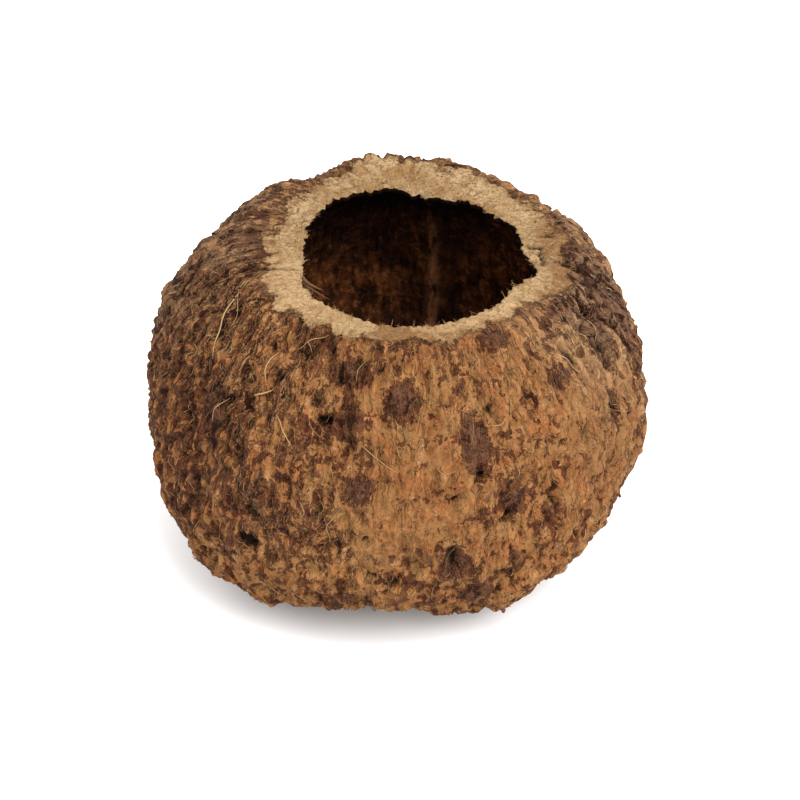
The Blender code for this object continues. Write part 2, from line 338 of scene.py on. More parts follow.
def noise(points, seed):
    """Gradient noise, about -1 to 1: a random slope at each whole-number point, eased between."""
    draw = np.random.RandomState(seed)
    order = draw.permutation(256)
    slopes = draw.normal(size=(256, 3))
    slopes /= np.linalg.norm(slopes, axis=1, keepdims=True)
    cell = np.floor(points).astype(int)
    inside = points - cell
    ease = inside**3 * (inside * (inside * 6 - 15) + 10)
    total = np.zeros(points.shape[:-1])
    for corner in np.ndindex(2, 2, 2):
        at = (cell + corner) & 255
        pick = order[(order[(order[at[..., 0]] + at[..., 1]) & 255] + at[..., 2]) & 255]
        weight = np.where(corner, ease, 1 - ease).prod(axis=-1)
        total += weight * (slopes[pick] * (inside - corner)).sum(axis=-1)
    return 1.6 * total


def ease_in(x):
    """0 below 0, 1 above 1, and a smooth step between."""
    x = np.clip(x, 0, 1)
    return x * x * (3 - 2 * x)


def angle_from(azimuth, side):
    """The turn from one azimuth to another, the short way round."""
    return (azimuth - side + np.pi) % (2 * np.pi) - np.pi


def ray(azimuth, tilt):
    """The unit vector of each ray."""
    flat = np.sin(tilt)
    return np.stack((flat * np.cos(azimuth), flat * np.sin(azimuth), np.cos(tilt)), axis=-1)


def grain(azimuth, tilt, width, length):
    """Noise coordinates drawn out from top to base, so that what they carry runs along the fibres."""
    across = BODY_RADIUS / width
    down = BODY_RADIUS / length * tilt
    return np.stack((across * np.cos(azimuth), across * np.sin(azimuth), down), axis=-1)


def round_reach(tilt, radius, rise, drop, rise_fullness, drop_fullness):
    """A superellipse of its own height and fullness over and under the widest part."""
    height = np.where(np.cos(tilt) > 0, rise, drop)
    power = np.where(np.cos(tilt) > 0, rise_fullness, drop_fullness)
    across = (np.abs(np.sin(tilt)) / radius) ** power
    return (across + (np.abs(np.cos(tilt)) / height) ** power) ** (-1 / power)


def swell(azimuth, tilt):
    """Each swell is a bell curve of the angle from its middle."""
    rays = ray(azimuth, tilt)
    total = np.zeros(rays.shape[:-1])
    for side, lean, spread, height in SWELLS:
        away = np.arccos(np.clip(rays @ ray(side * DEGREE, lean * DEGREE), -1, 1))
        total += height * np.exp(-((away / (spread * DEGREE)) ** 2))
    return total


def places(azimuth, tilt, listed):
    """The sum of flat-topped bell curves, each with its width across the fibres and height along."""
    total = np.zeros(np.broadcast(azimuth, tilt).shape)
    for side, lean, across, down, strength in listed:
        x = angle_from(azimuth, side * DEGREE) * np.sin(tilt) / (across * DEGREE)
        y = (tilt - lean * DEGREE) / (down * DEGREE)
        total += strength * np.exp(-((x**2 + y**2) ** 1.7))
    return total


def coarse_bark(azimuth, tilt, reach):
    """The solid's relief: lumps and knobs, less furrows where a drawn-out noise crosses nought."""
    place = ray(azimuth, tilt) * reach[..., None]
    twist = noise(place / ROLL_SIZE, 5)[..., None]
    drawn_out = noise(grain(azimuth, tilt, FURROW_WIDTH, FURROW_LENGTH) + twist, 2)
    furrow = (1 - np.abs(drawn_out)) ** FURROW_SHARPNESS
    relief = ROLL_DEPTH * noise(place / ROLL_SIZE, 1)
    relief += KNOB_DEPTH * noise(place / KNOB_SIZE, 3)
    relief += FURROW_DEPTH * (0.35 - furrow)
    return relief * ease_in((place[..., 2] + MIDDLE_HEIGHT) / SMOOTH_BAND)


def coarse_reach(azimuth, tilt):
    """The body of the solid, before the cut."""
    reach = round_reach(tilt, BODY_RADIUS, CROWN_RISE, KEEL_DROP, CROWN_FULLNESS, KEEL_FULLNESS)
    reach = reach + swell(azimuth, tilt)
    return reach + coarse_bark(azimuth, tilt, reach)


def fine_bark(azimuth, tilt, reach):
    """Matted strands, clots, grit and pits, less of them in smooth places, and the listed holes.

    Strands are ridges where a drawn-out noise crosses nought, and pits are where a noise is high.
    """
    place = ray(azimuth, tilt) * reach[..., None]
    twist = STRAND_TWIST * noise(place / STRAND_TWIST_SIZE, 11)[..., None]
    strand = 1 - np.abs(noise(grain(azimuth, tilt, STRAND_WIDTH, STRAND_LENGTH) + twist, 12))
    layer = 1 - np.abs(noise(grain(azimuth, tilt, 1.6 * STRAND_WIDTH, 3 * STRAND_LENGTH) - twist, 13))
    relief = STRAND_DEPTH * (strand**3 - 0.35) + STRAND_DEPTH * (0.3 - layer**4)
    relief += CLOT_DEPTH * noise(place / CLOT_SIZE, 14)
    relief += GRIT_DEPTH * noise(place / GRIT_SIZE, 15)
    relief -= PIT_DEPTH * ease_in((noise(place / PIT_SIZE + twist, 16) - PIT_START) / PIT_SPAN)
    share_left = np.clip(1 + places(azimuth, tilt, SMOOTH_PLACES), 0.3, 1)
    waver = HOLE_WAVER * noise(place / HOLE_WAVER_SIZE, 17) / np.sin(tilt)
    relief = relief * share_left - places(azimuth + waver, tilt, HOLES)
    return relief * ease_in((place[..., 2] + MIDDLE_HEIGHT) / FINE_BAND)


def cut_reach(azimuth, tilt):
    """The sawn face: a ray ends on the farther of the two strokes, or far out if it meets neither."""
    rays = ray(azimuth, tilt)
    farthest = np.zeros(rays.shape[:-1])
    for rise, along_x, along_y in CUT_STROKES:
        climb = np.maximum(rays @ (-along_x, -along_y, 1), LEAST_CLIMB)
        farthest = np.maximum(farthest, rise / climb)
    return farthest


def worn(azimuth):
    """How much rounder than elsewhere the rim's outer edge is."""
    total = np.zeros(azimuth.shape)
    for side, spread, more in WORN_EDGES:
        total += more * np.exp(-((angle_from(azimuth, side * DEGREE) / (spread * DEGREE)) ** 2))
    return total


def sawn_face(azimuth, tilt):
    """The cut, rough behind the crease, where the saw tore the fibres, and smoother in front.

    The torn share rises from nought to one between 11 mm in front of the middle and 1 mm behind it.
    """
    reach = cut_reach(azimuth, tilt)
    place = ray(azimuth, tilt) * reach[..., None]
    behind = ease_in(place[..., 1] / (12 * MM) + 0.9)
    torn = noise(place / SAW_SIZE, 21) + 0.7 * noise(place / (0.45 * SAW_SIZE), 22)
    reach = reach + SAW_DEPTH * (0.35 + 0.9 * behind) * torn
    return reach - 1 * MM * rim_hollows(place)


def rim_hollows(place):
    """Depth in millimetres of the grooves and pits: bell curves, wavering and uneven along each."""
    total = np.zeros(place.shape[:-1])
    rough = noise(place / GROOVE_GRIT_SIZE, 23)
    waver = [noise(place / GROOVE_WAVER_SIZE, seed) for seed in (24, 25)]
    place = place + GROOVE_WAVER * np.stack((*waver, 0 * rough), axis=-1)
    for x, y, half_x, half_y, depth in RIM_HOLLOWS:
        away = ((place[..., 0] - x) / half_x) ** 2 + ((place[..., 1] - y) / half_y) ** 2
        total += depth / MM * np.exp(-(away**1.5)) * (1 + 0.6 * rough)
    return total


def outer_faces(azimuth, tilt):
    """The lesser of the fine body's reach and the cut's, rounded off where they nearly meet."""
    reach = coarse_reach(azimuth, tilt)
    body, cut = reach + fine_bark(azimuth, tilt, reach), sawn_face(azimuth, tilt)
    rounding = EDGE_ROUNDING + worn(azimuth)
    near = np.clip(1 - np.abs(body - cut) / rounding, 0, 1)
    return np.minimum(body, cut) - rounding * near**2 / 4


def crossing(height_of, azimuth, low, high):
    """The tilt at which a height that falls from low to high passes nought, by halving the gap."""
    low, high = np.full_like(azimuth, low), np.full_like(azimuth, high)
    for _ in range(HALVINGS):
        middle = (low + high) / 2
        over = height_of(azimuth, middle) > 0
        low, high = np.where(over, middle, low), np.where(over, high, middle)
    return (low + high) / 2


def shoulder_tilt(azimuth):
    """The tilt at which the cut leaves the body's coarse form."""

    def over_cut(side, tilt):
        return coarse_reach(side, tilt) - cut_reach(side, tilt)

    return crossing(over_cut, azimuth, STEEPEST_TILT, np.pi / 2)


def tilt_on_cut(azimuth, radius):
    """The tilt at which a ray ends on the cut at a radius from the pod's upright axis."""

    def within(side, tilt):
        return radius - np.sin(tilt) * cut_reach(side, tilt)

    return crossing(within, azimuth, STEEPEST_TILT, np.pi / 2)


def on_skin(azimuth, tilt, margin):
    """Whether each place has bark, by a margin under the cut."""
    return coarse_reach(azimuth, tilt) < cut_reach(azimuth, tilt) - margin


def mouth_radius(azimuth):
    """A closed cubic curve through the mouth's radii, with small torn teeth."""
    count = len(MOUTH_RADII)
    at = azimuth / (2 * np.pi) * count
    first = np.floor(at).astype(int)
    share = at - first
    before, start, end, after = (MOUTH_RADII[(first + shift) % count] for shift in (-1, 0, 1, 2))
    bend = 2 * before - 5 * start + 4 * end - after
    twist = 3 * (start - end) + after - before
    radius = start + share / 2 * (end - before + share * (bend + share * twist))
    edge = np.stack((radius * np.cos(azimuth), radius * np.sin(azimuth), 0 * radius), axis=-1)
    teeth = noise(edge / TOOTH_SIZE, 31) + noise(edge / (3 * TOOTH_SIZE), 32)
    return radius + TOOTH_DEPTH * teeth


def cavity_reach(azimuth, tilt):
    """A smaller round form, less the upright ribs, which fade towards the mouth and the floor."""
    reach = round_reach(tilt, CAVITY_RADIUS, CAVITY_RISE, CAVITY_DROP, CAVITY_FULLNESS, CAVITY_FULLNESS)
    place = ray(azimuth, tilt) * reach[..., None]
    reach = reach + CAVITY_ROLL_DEPTH * noise(place / CAVITY_ROLL_SIZE, 4)
    upright = np.exp(-(((tilt - RIB_TILT) / RIB_SPREAD) ** 2))
    for side in RIB_AZIMUTHS:
        across = CAVITY_RADIUS * angle_from(azimuth, side * DEGREE)
        reach = reach - RIB_HEIGHT * upright * np.exp(-((across / RIB_HALF_WIDTH) ** 2))
    return reach


def fine_cavity_reach(azimuth, tilt):
    """The cavity with its lining: drawn-out strands and lumps, which fade to the floor's middle."""
    reach = cavity_reach(azimuth, tilt)
    place = ray(azimuth, tilt) * reach[..., None]
    strand = 1 - np.abs(noise(grain(azimuth, tilt, LINING_STRAND_WIDTH, LINING_STRAND_LENGTH), 41))
    relief = LINING_DEPTH * (strand**3 - 0.4) + LINING_DEPTH * noise(place / LINING_LUMP_SIZE, 42)
    return reach + relief * ease_in((np.pi - tilt) / FLOOR_FADE)


class Signal:
    """An output of a shader node. Arithmetic on it adds Math nodes to its finish."""

    def __init__(self, finish, socket):
        self.finish = finish
        self.socket = socket

    def math(self, operation, *others):
        """A Math node of this signal and the others."""
        return self.finish.node("Math", {"operation": operation}, dict(enumerate((self, *others))))

    def __add__(self, other):
        return self.math("ADD", other)

    def __sub__(self, other):
        return self.math("SUBTRACT", other)

    def __rsub__(self, other):
        return self.finish.node("Math", {"operation": "SUBTRACT"}, {0: other, 1: self})

    def __mul__(self, other):
        return self.math("MULTIPLY", other)

    __radd__ = __add__
    __rmul__ = __mul__

    def step(self, low, high):
        """0 under low, 1 over high, and a smooth step between."""
        settings = {"interpolation_type": "SMOOTHSTEP", "clamp": True}
        sockets = {"Value": self, "From Min": low, "From Max": high}
        return self.finish.node("MapRange", settings, sockets)


class Finish:
    """A procedural material. Every node of it is added by one method, which the others call."""

    def __init__(self, name):
        self.material = bpy.data.materials.new(name)
        self.material.use_nodes = True
        self.tree = self.material.node_tree
        self.shader = self.tree.nodes["Principled BSDF"]
        self.place = self.node("TexCoord", {}, {}, "Object")

    def node(self, kind, settings, sockets, output=0):
        """Adds a node: its settings first, then a value or a link for each socket."""
        made = self.tree.nodes.new("ShaderNode" + kind)
        for name, value in settings.items():
            setattr(made, name, value)
        for key, value in sockets.items():
            self.feed(made.inputs[key], value)
        return Signal(self, made.outputs[output])

    def feed(self, socket, value):
        """Links a signal to a socket, or sets the socket's value."""
        if isinstance(value, Signal):
            self.tree.links.new(value.socket, socket)
        else:
            socket.default_value = value

    def noise(self, vector, size, detail=3, roughness=0.5, colour=False):
        """Noise with features of the given size in metres."""
        sockets = {"Vector": vector, "Scale": 1 / size, "Detail": detail, "Roughness": roughness}
        return self.node("TexNoise", {}, sockets, "Color" if colour else 0)

    def attribute(self, name):
        """A number that the mesh carries at each point."""
        return self.node("Attribute", {"attribute_name": name}, {}, "Fac")

    def direction(self, name):
        """A vector that the mesh carries at each point."""
        return self.node("Attribute", {"attribute_name": name}, {}, "Vector")

    def along_axis(self, letter):
        """How far each point lies along X, Y or Z, in metres."""
        return self.node("SeparateXYZ", {}, {"Vector": self.place}, letter)

    def warped(self, vector, size, strength, detail=2):
        """A vector pushed about by noise, by up to the given strength in metres."""
        push = self.noise(self.place, size, detail, colour=True)
        push = self.node("VectorMath", {"operation": "SUBTRACT"}, {0: push, 1: (0.5, 0.5, 0.5)})
        push = self.node("VectorMath", {"operation": "SCALE"}, {0: push, "Scale": 2 * strength})
        return self.node("VectorMath", {"operation": "ADD"}, {0: vector, 1: push})

    def mix(self, share, first, second):
        """A colour between two, where the share is 0 at the first."""
        settings = {"data_type": "RGBA"}
        return self.node("Mix", settings, {"Factor": share, 6: shade(first), 7: shade(second)}, 2)

    def shaded(self, colour, factor):
        """A colour made darker or lighter by a factor."""
        grey = self.node("CombineColor", {}, {"Red": factor, "Green": factor, "Blue": factor})
        settings = {"data_type": "RGBA", "blend_type": "MULTIPLY"}
        return self.node("Mix", settings, {"Factor": 1.0, 6: shade(colour), 7: grey}, 2)

    def bump(self, height, distance, strength=1.0):
        """The normal of a surface raised by height, 0 to 1, times distance in metres."""
        return self.node("Bump", {}, {"Height": height, "Distance": distance, "Strength": strength})


def shade(colour):
    """A colour given as red, green and blue gets its fourth value. A link passes unchanged."""
    return colour if isinstance(colour, Signal) else (*colour, 1)


def pod_looks(finish, marks):
    """The small patterns of the pod, each a noise of about 0 to 1.

    Clots, crumb and rags are swirled. Strands, hair and cracks run along the grain: hair and cracks
    are where a drawn-out noise crosses its middle. The bare places have ragged borders.
    """
    swirled = finish.warped(finish.place, 4 * MM, 1.5 * MM)
    along = finish.warped(finish.direction("grain"), 6 * MM, 1.3 * MM)
    curl = finish.noise(finish.warped(along, 2 * MM, 0.9 * MM), 1.1 * MM, 2, 0.5)
    looks = {
        "patches": finish.noise(finish.place, 9 * MM, 3),
        "clots": finish.noise(swirled, 2.8 * MM, 3, 0.55),
        "strands": finish.noise(along, 1.7 * MM, 3, 0.5),
        "crumb": finish.noise(swirled, 0.9 * MM, 2, 0.6),
        "hair": 1 - (curl - 0.5).math("ABSOLUTE") * 2,
        "torn": finish.noise(finish.place, 0.8 * MM, 4, 0.65),
        "rags": finish.noise(swirled, 2.2 * MM, 4, 0.65),
    }
    split = finish.noise(finish.warped(along, 3 * MM, 1.4 * MM), 2.6 * MM, 2, 0.5)
    looks["cracks"] = 1 - (split - 0.5).math("ABSOLUTE") * 2
    edge = (looks["rags"] - 0.5) * 2.0 + (looks["clots"] - 0.5) * 1.8
    looks["bare"] = (marks["bare"] + edge).step(0.50, 0.60)
    return looks


def pod_finish():
    """Bark, sawn wood and lining in one material.

    The sawn face shows wherever the cut lies deeper than the bark, with a ragged border, and the
    lining wherever the shell is marked as inside.
    """
    finish = Finish("pod")
    marks = {name: finish.attribute(name) for name in MARKS}
    looks = pod_looks(finish, marks)
    bark, dark_share = bark_colour(finish, marks, looks)
    wood = wood_colour(finish, looks, marks)
    lining = lining_colour(finish, looks, marks)

    ragged = (looks["torn"] - 0.5) * 3.0 + (looks["rags"] - 0.5) * 3.0
    depth = marks["sawn"] + (ragged + (looks["patches"] - 0.5) * 3.5)
    sawn_share = depth.step(-0.35, 0.55)
    inside_share = (marks["inside"] + (looks["torn"] - 0.5) * 1.2).step(0.42, 0.60)
    wood = finish.mix(depth.step(0.1, 2.1), finish.mix(0.6, wood, WOOD_BORDER), wood)
    colour = finish.mix(sawn_share, bark, wood)
    # Painted shade: darker down in the holes, crevices and grooves, by the hollow mark
    colour = finish.shaded(colour, 1 - marks["hollow_shade"] * 0.9)
    colour = finish.mix(inside_share, colour, lining)
    finish.feed(finish.shader.inputs["Base Color"], finish.shaded(colour, PALENESS))
    roughness = 0.9 - dark_share * (1 - sawn_share) * 0.16 + inside_share * 0.1
    finish.feed(finish.shader.inputs["Roughness"], roughness)
    finish.shader.inputs["Specular IOR Level"].default_value = 0.04

    height = looks["strands"] * 0.8 + looks["clots"] * 0.6 + looks["crumb"] * 0.35
    height = height + looks["hair"] * 0.3
    height = height + looks["torn"] * (0.2 + sawn_share * 0.4) + looks["rags"] * sawn_share * 0.9
    low = dark_share * 0.3 + looks["cracks"].step(0.90, 0.99) * 0.35 + looks["bare"] * 0.3
    height = height - low * (1 - sawn_share)
    finish.feed(finish.shader.inputs["Normal"], finish.bump(height, BUMP_HEIGHT))
    return finish.material


def bark_colour(finish, marks, looks):
    """Tan felt under maroon clots and grey-brown skin, with hairs and bare places over them, painted
    shade in the cracks, and painted shade and light by the relief.

    One tone, a sum of the small patterns less the cover, runs from near black through maroon and
    brown to the felt. The second value returned is the share that is darker than the felt.
    """
    centred = {name: looks[name] - 0.5 for name in ("clots", "patches", "strands", "crumb")}
    tone = centred["clots"] * 1.7 + centred["patches"] * 0.75
    tone = tone + centred["strands"] * marks["streak"] * 1.1
    tone = tone + centred["crumb"] * 0.5 + (marks["relief"] - 0.5) * 0.22
    tone = tone + (0.80 - marks["cover"] * 0.55)
    drawn_out = finish.warped(finish.direction("grain"), 3 * MM, 1.0 * MM)
    specks = finish.noise(drawn_out, 1.35 * MM, 2, 0.5)
    mottle = looks["rags"] * 0.6 + looks["strands"] * 0.4
    hue = finish.noise(finish.place, 5 * MM, 3)
    tan = finish.mix(hue.step(0.35, 0.62), ORANGE_FELT, TAN_FELT)
    tan = finish.mix(marks["cover"].step(0.6, 0.95) * 0.7, tan, BROWN_FELT)
    tan = finish.mix(marks["grey"] * 0.65, tan, GREY_FELT)
    tan = finish.mix(mottle.step(0.34, 0.56), finish.shaded(tan, 0.55), tan)
    maroon = finish.mix(hue.step(0.40, 0.60), DARK_MAROON, MAROON)
    skin = finish.mix(looks["strands"].step(0.35, 0.65), DARK_SKIN, PALE_SKIN)
    maroon = finish.mix(marks["grey"] * patchy(looks["patches"]), maroon, skin)
    brown = finish.mix(0.62, tan, maroon)
    colour = finish.mix(tone.step(0.08, 0.26), DEEP_BARK, maroon)
    colour = finish.mix(tone.step(0.400, 0.445), colour, brown)
    colour = finish.mix(tone.step(0.455, 0.505), colour, tan)
    colour = finish.mix(specks.step(0.60, 0.65) * 0.75, colour, finish.mix(0.15, maroon, tan))
    pale_share = mottle.step(0.55, 0.68) * tone.step(0.46, 0.60) * 0.75
    colour = finish.mix(pale_share, colour, PALE_FELT)
    # Painted shade down in the cracks
    crack_shade = looks["cracks"].step(0.93, 0.99) * looks["clots"].step(0.56, 0.42)
    crack_shade = crack_shade * marks["cover"].step(0.25, 0.5)
    colour = finish.mix(crack_shade * 0.6, colour, CRACK_SHADE)
    hair_lines = looks["hair"].step(0.92, 0.985)
    hair_share = marks["cover"].step(0.2, 0.5) * 0.14 + marks["light"] * 0.5
    colour = finish.mix(hair_lines * hair_share, colour, LIGHT_HAIR)
    under = finish.mix(looks["torn"].step(0.38, 0.60), DARK_BARE, BROWN_BARE)
    under = finish.mix(looks["hair"].step(0.80, 0.95) * 0.5, under, BARE_HAIR)
    under = finish.mix(marks["grey"] * 0.6, under, skin)
    colour = finish.mix(looks["bare"] * 0.92, colour, under)
    colour = finish.shaded(colour, looks["crumb"].step(0.25, 0.7) * 0.20 + 0.90)
    # Painted shade in the bark's low places and painted light on its high ones, with a random darkening
    # by the torn noise
    colour = finish.shaded(colour, marks["relief"] * 0.5 + looks["torn"] * 0.16 + 0.685)
    return colour, 1 - tone.step(0.42, 0.48)


def patchy(look):
    """Widens a noise's middle range, to run from 0.3 to 1."""
    return look.step(0.36, 0.58) * 0.7 + 0.3


def wood_colour(finish, looks, marks):
    """Sawn wood: torn and mottled behind, smoother in front, with a tinge, stains, hairs and flecks."""
    behind = (finish.along_axis("Y") + (looks["patches"] - 0.5) * 0.03).step(-13 * MM, -3 * MM)
    tinge = finish.noise(finish.place, 8 * MM, 3)
    flecks = finish.noise(finish.warped(finish.place, 1.5 * MM, 0.5 * MM), 1.1 * MM, 3, 0.6)
    fine = looks["torn"] * 0.4 + looks["rags"] * 0.6
    torn = finish.mix(fine.step(0.36, 0.60), *TORN_WOOD)
    smooth = finish.mix(fine.step(0.32, 0.62), *SMOOTH_WOOD)
    wood = finish.mix(behind, smooth, torn)
    wood = finish.mix(tinge.step(0.50, 0.66) * (0.25 + behind * 0.45), wood, WOOD_TINGE)
    stained = marks["stain"] + (looks["rags"] - 0.5) * 2.0 + (looks["patches"] - 0.5)
    wood = finish.mix(stained.step(0.35, 0.75) * 0.8, wood, WOOD_STAIN)
    wood = finish.mix(looks["hair"].step(0.88, 0.97) * behind * 0.4, wood, WOOD_HAIR)
    return finish.mix(flecks.step(0.60, 0.68) * (0.3 + behind * 0.6), wood, WOOD_FLECK)


def lining_colour(finish, looks, marks):
    """The cavity: near-black brown, partly painted shade, warm brown in the listed places, partly
    painted light, with painted glints, a painted highlight along the rib and painted shade high behind.
    """
    warm = finish.noise(finish.warped(finish.place, 8 * MM, 4 * MM), 6 * MM, 4, 0.6)
    spots = finish.noise(finish.warped(finish.place, 3 * MM, 1.2 * MM), 2.4 * MM, 3, 0.6)
    rise = finish.along_axis("Z")
    behind = finish.along_axis("Y").step(-12 * MM, 0.0)
    high = rise.step(60 * MM, 76 * MM)
    warm_share = marks["warm"] * 0.80 + 0.20
    # The near-black is partly the lining's own brown and partly painted shade; the warm patches are
    # partly its own colour and partly painted light
    lining = finish.mix(warm.step(0.34, 0.60) * warm_share, DARK_LINING_AND_SHADE, WARM_LINING_AND_LIGHT)
    # Painted highlight down the back rib, broken by the strands
    lining = finish.mix(marks["rib"] * looks["strands"].step(0.25, 0.5), lining, RIB_HIGHLIGHT)
    glint = (warm * 0.6 + spots).step(0.80, 0.95) * warm_share
    lining = finish.mix(glint, lining, LINING_GLINT)
    lining = finish.shaded(lining, looks["strands"].step(0.2, 0.8) * 1.3 + 0.3)
    # Painted shade: the high back of the wall is darker, as lying in its own shade
    return finish.shaded(lining, 1 - high * behind * 0.85)


def fibre_finish():
    """Dry plant fibre: light tan to brown, each strand its own shade."""
    finish = Finish("fibre")
    tone = finish.attribute("tone")
    ripple = finish.noise(finish.place, 2 * MM, 2)
    colour = finish.mix(tone, BROWN_FIBRE, TAN_FIBRE)
    finish.feed(finish.shader.inputs["Base Color"], finish.shaded(colour, ripple + 0.5))
    finish.feed(finish.shader.inputs["Roughness"], 0.6 + ripple * 0.2)
    finish.shader.inputs["Specular IOR Level"].default_value = 0.15
    return finish.material


def new_piece(name, points, faces, finish, attributes):
    """Makes a smooth mesh with its numbers for each point, and sets it on the body."""
    mesh = bpy.data.meshes.new(name)
    mesh.vertices.add(len(points))
    mesh.vertices.foreach_set("co", points.astype(np.float32).ravel())
    corners = np.concatenate([np.asarray(block).ravel() for block in faces])
    counts = np.concatenate([np.full(len(block), np.shape(block)[1]) for block in faces])
    mesh.loops.add(len(corners))
    mesh.loops.foreach_set("vertex_index", corners.astype(np.int32))
    mesh.polygons.add(len(counts))
    mesh.polygons.foreach_set("loop_start", (np.cumsum(counts) - counts).astype(np.int32))
    for title, values in attributes.items():
        kind, key = ("FLOAT_VECTOR", "vector") if values.ndim == 2 else ("FLOAT", "value")
        layer = mesh.attributes.new(title, kind, "POINT")
        layer.data.foreach_set(key, values.astype(np.float32).ravel())
    mesh.update(calc_edges=True)
    mesh.validate()
    mesh.shade_smooth()
    mesh.materials.append(finish)
    piece = bpy.data.objects.new(name, mesh)
    bpy.context.scene.collection.objects.link(piece)
    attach(piece, "root")
    return piece


def quads_between(low, high, count):
    """Faces between two rings of the same count, given their first points' numbers."""
    column = np.arange(count)
    following = (column + 1) % count
    return np.stack((low + column, low + following, high + following, high + column), axis=1)


def fan(low, tip, count):
    """Faces between a ring and one point."""
    column = np.arange(count)
    return np.stack((low + column, low + (column + 1) % count, np.full(count, tip)), axis=1)


def halving_faces(low, high, count):
    """Faces from a ring of twice the count to one of the count: three triangles on each two edges."""
    column = np.arange(count)
    following = (column + 1) % count
    first, middle = low + 2 * column, low + 2 * column + 1
    last = low + (2 * column + 2) % (2 * count)
    return np.concatenate(
        (
            np.stack((first, middle, high + column), axis=1),
            np.stack((middle, high + following, high + column), axis=1),
            np.stack((middle, last, high + following), axis=1),
        )
    )


def height_over_base(azimuth, tilt):
    """How high the coarse body's surface lies over the plane that the pod rests on."""
    return coarse_reach(azimuth, tilt) * np.cos(tilt) + MIDDLE_HEIGHT


def pod_shell(finish):
    """Rings of the outer face, the rim, the lip and the cavity, joined into one closed shell.

    A ring is one tilt for each azimuth. The rings run from the flat spot up to the rim, across it
    to the mouth, down over the lip, and on down the cavity's wall with half as many columns, to one
    point in the floor's middle.
    """
    azimuth = np.arange(OUTER_COLUMNS) / OUTER_COLUMNS * 2 * np.pi
    every = OUTER_COLUMNS // CAVITY_COLUMNS
    sides = azimuth[::every]
    base = crossing(height_over_base, azimuth, np.pi / 2, np.pi)
    shoulder = shoulder_tilt(azimuth)
    mouth = tilt_on_cut(azimuth, mouth_radius(azimuth))

    up = np.linspace(0, 1, OUTER_ROWS)[:, None]
    across = np.linspace(0, 1, RIM_ROWS + 1)[1:, None]
    tilt = np.concatenate((base + (shoulder - base) * up, shoulder + (mouth - shoulder) * across))
    around = np.broadcast_to(azimuth, tilt.shape)
    outer = ray(around, tilt) * outer_faces(around, tilt)[..., None]
    lip = np.stack([outer[-1] - (0, 0, drop) for drop in LIP_DROPS])

    edge = lip[-1][::every]
    edge_reach = np.linalg.norm(edge, axis=1)
    edge_tilt = np.arccos(edge[:, 2] / edge_reach)
    down = edge_tilt + (np.pi - edge_tilt) * np.linspace(0, 1, CAVITY_ROWS + 1)[1:-1, None]
    near = 1 - ease_in((down - edge_tilt) / LIP_REACH)
    gap = edge_reach - fine_cavity_reach(sides, edge_tilt)
    wall_sides = np.broadcast_to(sides, down.shape)
    cavity = ray(wall_sides, down) * (fine_cavity_reach(wall_sides, down) + gap * near)[..., None]
    floor = np.array([[0, 0, -cavity_reach(np.zeros(1), np.full(1, np.pi))[0]]])

    # The flat spot: the first ring, level, and one point in its middle
    outer[0, :, 2] = -MIDDLE_HEIGHT
    outer[..., 2] = np.maximum(outer[..., 2], -MIDDLE_HEIGHT)
    spot = np.array([[0, 0, -MIDDLE_HEIGHT]])
    blocks = [outer.reshape(-1, 3), lip.reshape(-1, 3), cavity.reshape(-1, 3), floor, spot]
    points = np.concatenate(blocks) + (0, 0, MIDDLE_HEIGHT)

    first = (len(outer) + len(lip)) * OUTER_COLUMNS
    lows = range(0, first - OUTER_COLUMNS, OUTER_COLUMNS)
    faces = [quads_between(low, low + OUTER_COLUMNS, OUTER_COLUMNS) for low in lows]
    faces.append(halving_faces(first - OUTER_COLUMNS, first, CAVITY_COLUMNS))
    last = first + (len(cavity) - 1) * CAVITY_COLUMNS
    lows = range(first, last, CAVITY_COLUMNS)
    faces += [quads_between(low, low + CAVITY_COLUMNS, CAVITY_COLUMNS) for low in lows]
    tip = len(points) - 2
    faces.append(fan(last, tip, CAVITY_COLUMNS))
    faces.append(fan(0, tip + 1, OUTER_COLUMNS)[:, (1, 0, 2)])
    marks = shell_marks(around, tilt, lip, wall_sides, down)
    return new_piece("pod_shell", points, faces, finish, marks)


